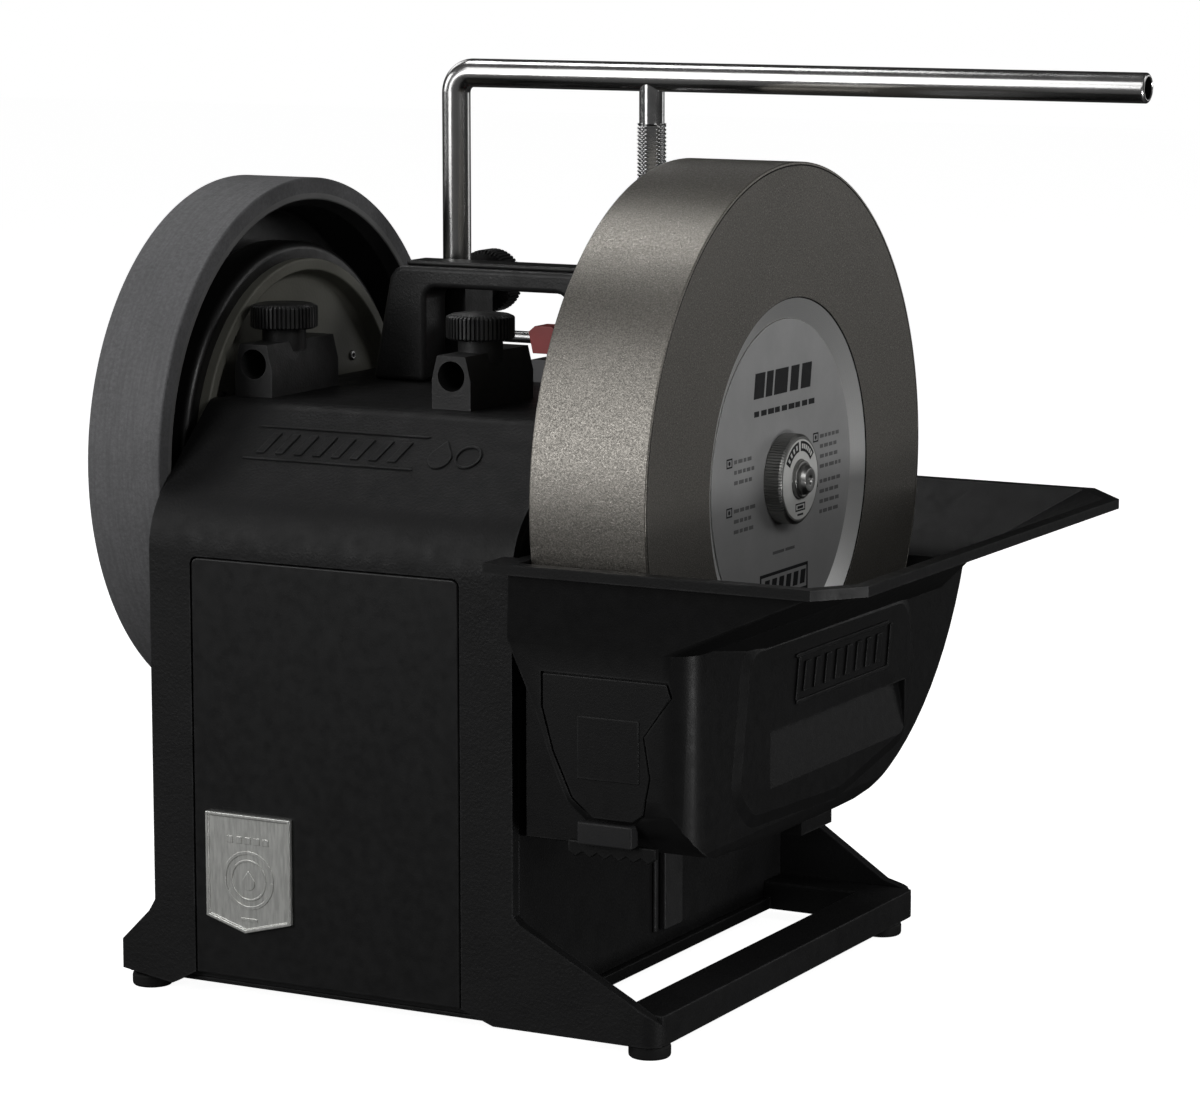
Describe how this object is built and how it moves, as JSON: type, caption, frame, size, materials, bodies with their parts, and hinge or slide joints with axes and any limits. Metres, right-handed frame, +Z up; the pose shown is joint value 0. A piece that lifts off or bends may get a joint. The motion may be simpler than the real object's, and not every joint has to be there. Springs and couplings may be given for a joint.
{
  "type": "wet grinding sharpener",
  "caption": "Bench-top wet grinder: big stone wheel over a side trough, honing wheel on the other side, cabinet with handle and motor, chrome tool rest bar.",
  "frame": {"origin": "on the floor under the middle of the bounding box", "axes": "+X along the shaft towards the grinding wheel, +Y towards the back, +Z up"},
  "size_m": [0.3982, 0.295, 0.3692],
  "materials": {
    "cabinet_coat": "fine-textured black powder coat",
    "casting_coat": "textured black coat on castings",
    "panel_plastic": "smooth moulded black, satin",
    "badge_silver": "satin plate with raised rim",
    "foot_rubber": "matt black rubber",
    "knob_plastic": "black moulded, knurled edge",
    "chrome_bar": "polished chrome",
    "thread_steel": "bright rolled thread",
    "shaft_steel": "ground stainless steel",
    "screw_steel": "zinc plated",
    "bush_nylon": "off-white nylon",
    "wheel_grit": "metal wheel body with a fine bonded grit surface",
    "label_disc": "satin grey disc",
    "flange_steel": "turned steel",
    "lock_nut_zinc": "white face, knurled silver rim",
    "hone_core": "dark moulded disc",
    "hone_leather": "dark grey fine leather band",
    "drive_plastic": "beige moulded plastic",
    "drive_rubber": "black rubber tyre",
    "motor_iron": "dark laminated iron",
    "motor_alloy": "die-cast alloy",
    "fan_plastic": "black moulded",
    "capacitor_plastic": "pale moulded can",
    "switch_grey": "grey moulded",
    "switch_red": "red moulded",
    "trough_plastic": "fine-textured black moulding",
    "catch_grey": "grey moulded"
  },
  "bodies": {
    "cabinet": {"front_frame": "cabinet_coat", "rear_frame": "cabinet_coat", "top_casting": "cabinet_coat", "left_side_wall": "cabinet_coat", "right_side_wall": "cabinet_coat", "base_frame": "cabinet_coat", "bottom_cover": "panel_plastic", "front_panel": "panel_plastic", "panel_badge": "badge_silver", "rear_panel": "panel_plastic", "power_inlet": "panel_plastic", "rubber_feet": "foot_rubber", "carry_handle": "casting_coat", "handle_cap": "panel_plastic", "front_sleeves": "casting_coat", "rear_sleeves": "casting_coat", "shaft_bushes": "bush_nylon", "motor_hinge_pin": "shaft_steel", "run_capacitor": "capacitor_plastic", "switch_housing": "switch_grey", "switch_rod": "screw_steel", "trough_guide": "cabinet_coat", "frame_screws": "screw_steel"},
    "shaft": {"main_shaft": "shaft_steel", "grinding_wheel": "wheel_grit", "wheel_label_disc": "label_disc", "wheel_flange": "flange_steel", "honing_wheel": "hone_core", "honing_tread": "hone_leather", "drive_wheel": "drive_plastic", "drive_tyre": "drive_rubber", "drive_screws": "screw_steel"},
    "lock_nut": {"quick_lock_nut": "lock_nut_zinc"},
    "hone_knob": {"honing_knob": "knob_plastic"},
    "motor": {"motor_housing": "motor_iron", "motor_end_bells": "motor_alloy", "motor_hanger": "motor_alloy"},
    "rotor": {"motor_spindle": "shaft_steel", "cooling_fan": "fan_plastic"},
    "support": {"support_bar": "chrome_bar", "threaded_leg": "thread_steel"},
    "micro_nut": {"micro_adjust_nut": "knob_plastic"},
    "front_left_knob": {"front_left_clamp_knob": "knob_plastic"},
    "front_right_knob": {"front_right_clamp_knob": "knob_plastic"},
    "rear_left_knob": {"rear_left_clamp_knob": "knob_plastic"},
    "rear_right_knob": {"rear_right_clamp_knob": "knob_plastic"},
    "switch": {"switch_lever": "switch_red"},
    "trough": {"water_trough": "trough_plastic", "trough_scraper": "trough_plastic", "trough_catch": "catch_grey"}
  },
  "joints": [
    {"name": "shaft_spin", "type": "hinge", "parent": "cabinet", "child": "shaft", "pos_m": [-0.05065, -0.0095, 0.2085], "axis": [1, 0, 0], "continuous": true},
    {"name": "lock_nut_turn", "type": "hinge", "parent": "shaft", "child": "lock_nut", "pos_m": [0.06935, -0.0095, 0.2085], "axis": [1, 0, 0], "range_deg": [0, 180]},
    {"name": "hone_knob_turn", "type": "hinge", "parent": "shaft", "child": "hone_knob", "pos_m": [-0.19565, -0.0095, 0.2085], "axis": [1, 0, 0], "range_deg": [0, 360]},
    {"name": "motor_swing", "type": "hinge", "parent": "cabinet", "child": "motor", "pos_m": [-0.09065, 0.0365, 0.193], "axis": [1, 0, 0], "range_deg": [0, 2.5]},
    {"name": "rotor_spin", "type": "hinge", "parent": "motor", "child": "rotor", "pos_m": [-0.09065, 0.04883, 0.13898], "axis": [1, 0, 0], "continuous": true},
    {"name": "support_slide", "type": "slide", "parent": "cabinet", "child": "support", "axis": [0, 0, 1], "range_m": [0, 0.06]},
    {"name": "micro_nut_turn", "type": "hinge", "parent": "support", "child": "micro_nut", "pos_m": [-0.01615, 0.0351, 0.287], "axis": [0, 0, 1], "continuous": true},
    {"name": "front_left_knob_turn", "type": "hinge", "parent": "cabinet", "child": "front_left_knob", "pos_m": [-0.14115, -0.05, 0.266], "axis": [0, 0, 1], "range_deg": [0, 180]},
    {"name": "front_right_knob_turn", "type": "hinge", "parent": "cabinet", "child": "front_right_knob", "pos_m": [-0.04875, -0.05, 0.266], "axis": [0, 0, 1], "range_deg": [0, 180]},
    {"name": "rear_left_knob_turn", "type": "hinge", "parent": "cabinet", "child": "rear_left_knob", "pos_m": [-0.10855, 0.0625, 0.2736], "axis": [0, 1, 0], "range_deg": [0, 180]},
    {"name": "rear_right_knob_turn", "type": "hinge", "parent": "cabinet", "child": "rear_right_knob", "pos_m": [-0.01615, 0.0625, 0.2736], "axis": [0, 1, 0], "range_deg": [0, 180]},
    {"name": "switch_tilt", "type": "hinge", "parent": "cabinet", "child": "switch", "pos_m": [-0.06165, 0.0305, 0.254], "axis": [1, 0, 0], "range_deg": [-15, 15]},
    {"name": "trough_slide", "type": "slide", "parent": "cabinet", "child": "trough", "axis": [0, 0, 1], "range_m": [-0.035, 0]}
  ],
  "couplings": [
    {"joint": "rotor_spin", "follows": "shaft_spin", "ratio": -15.454}
  ]
}
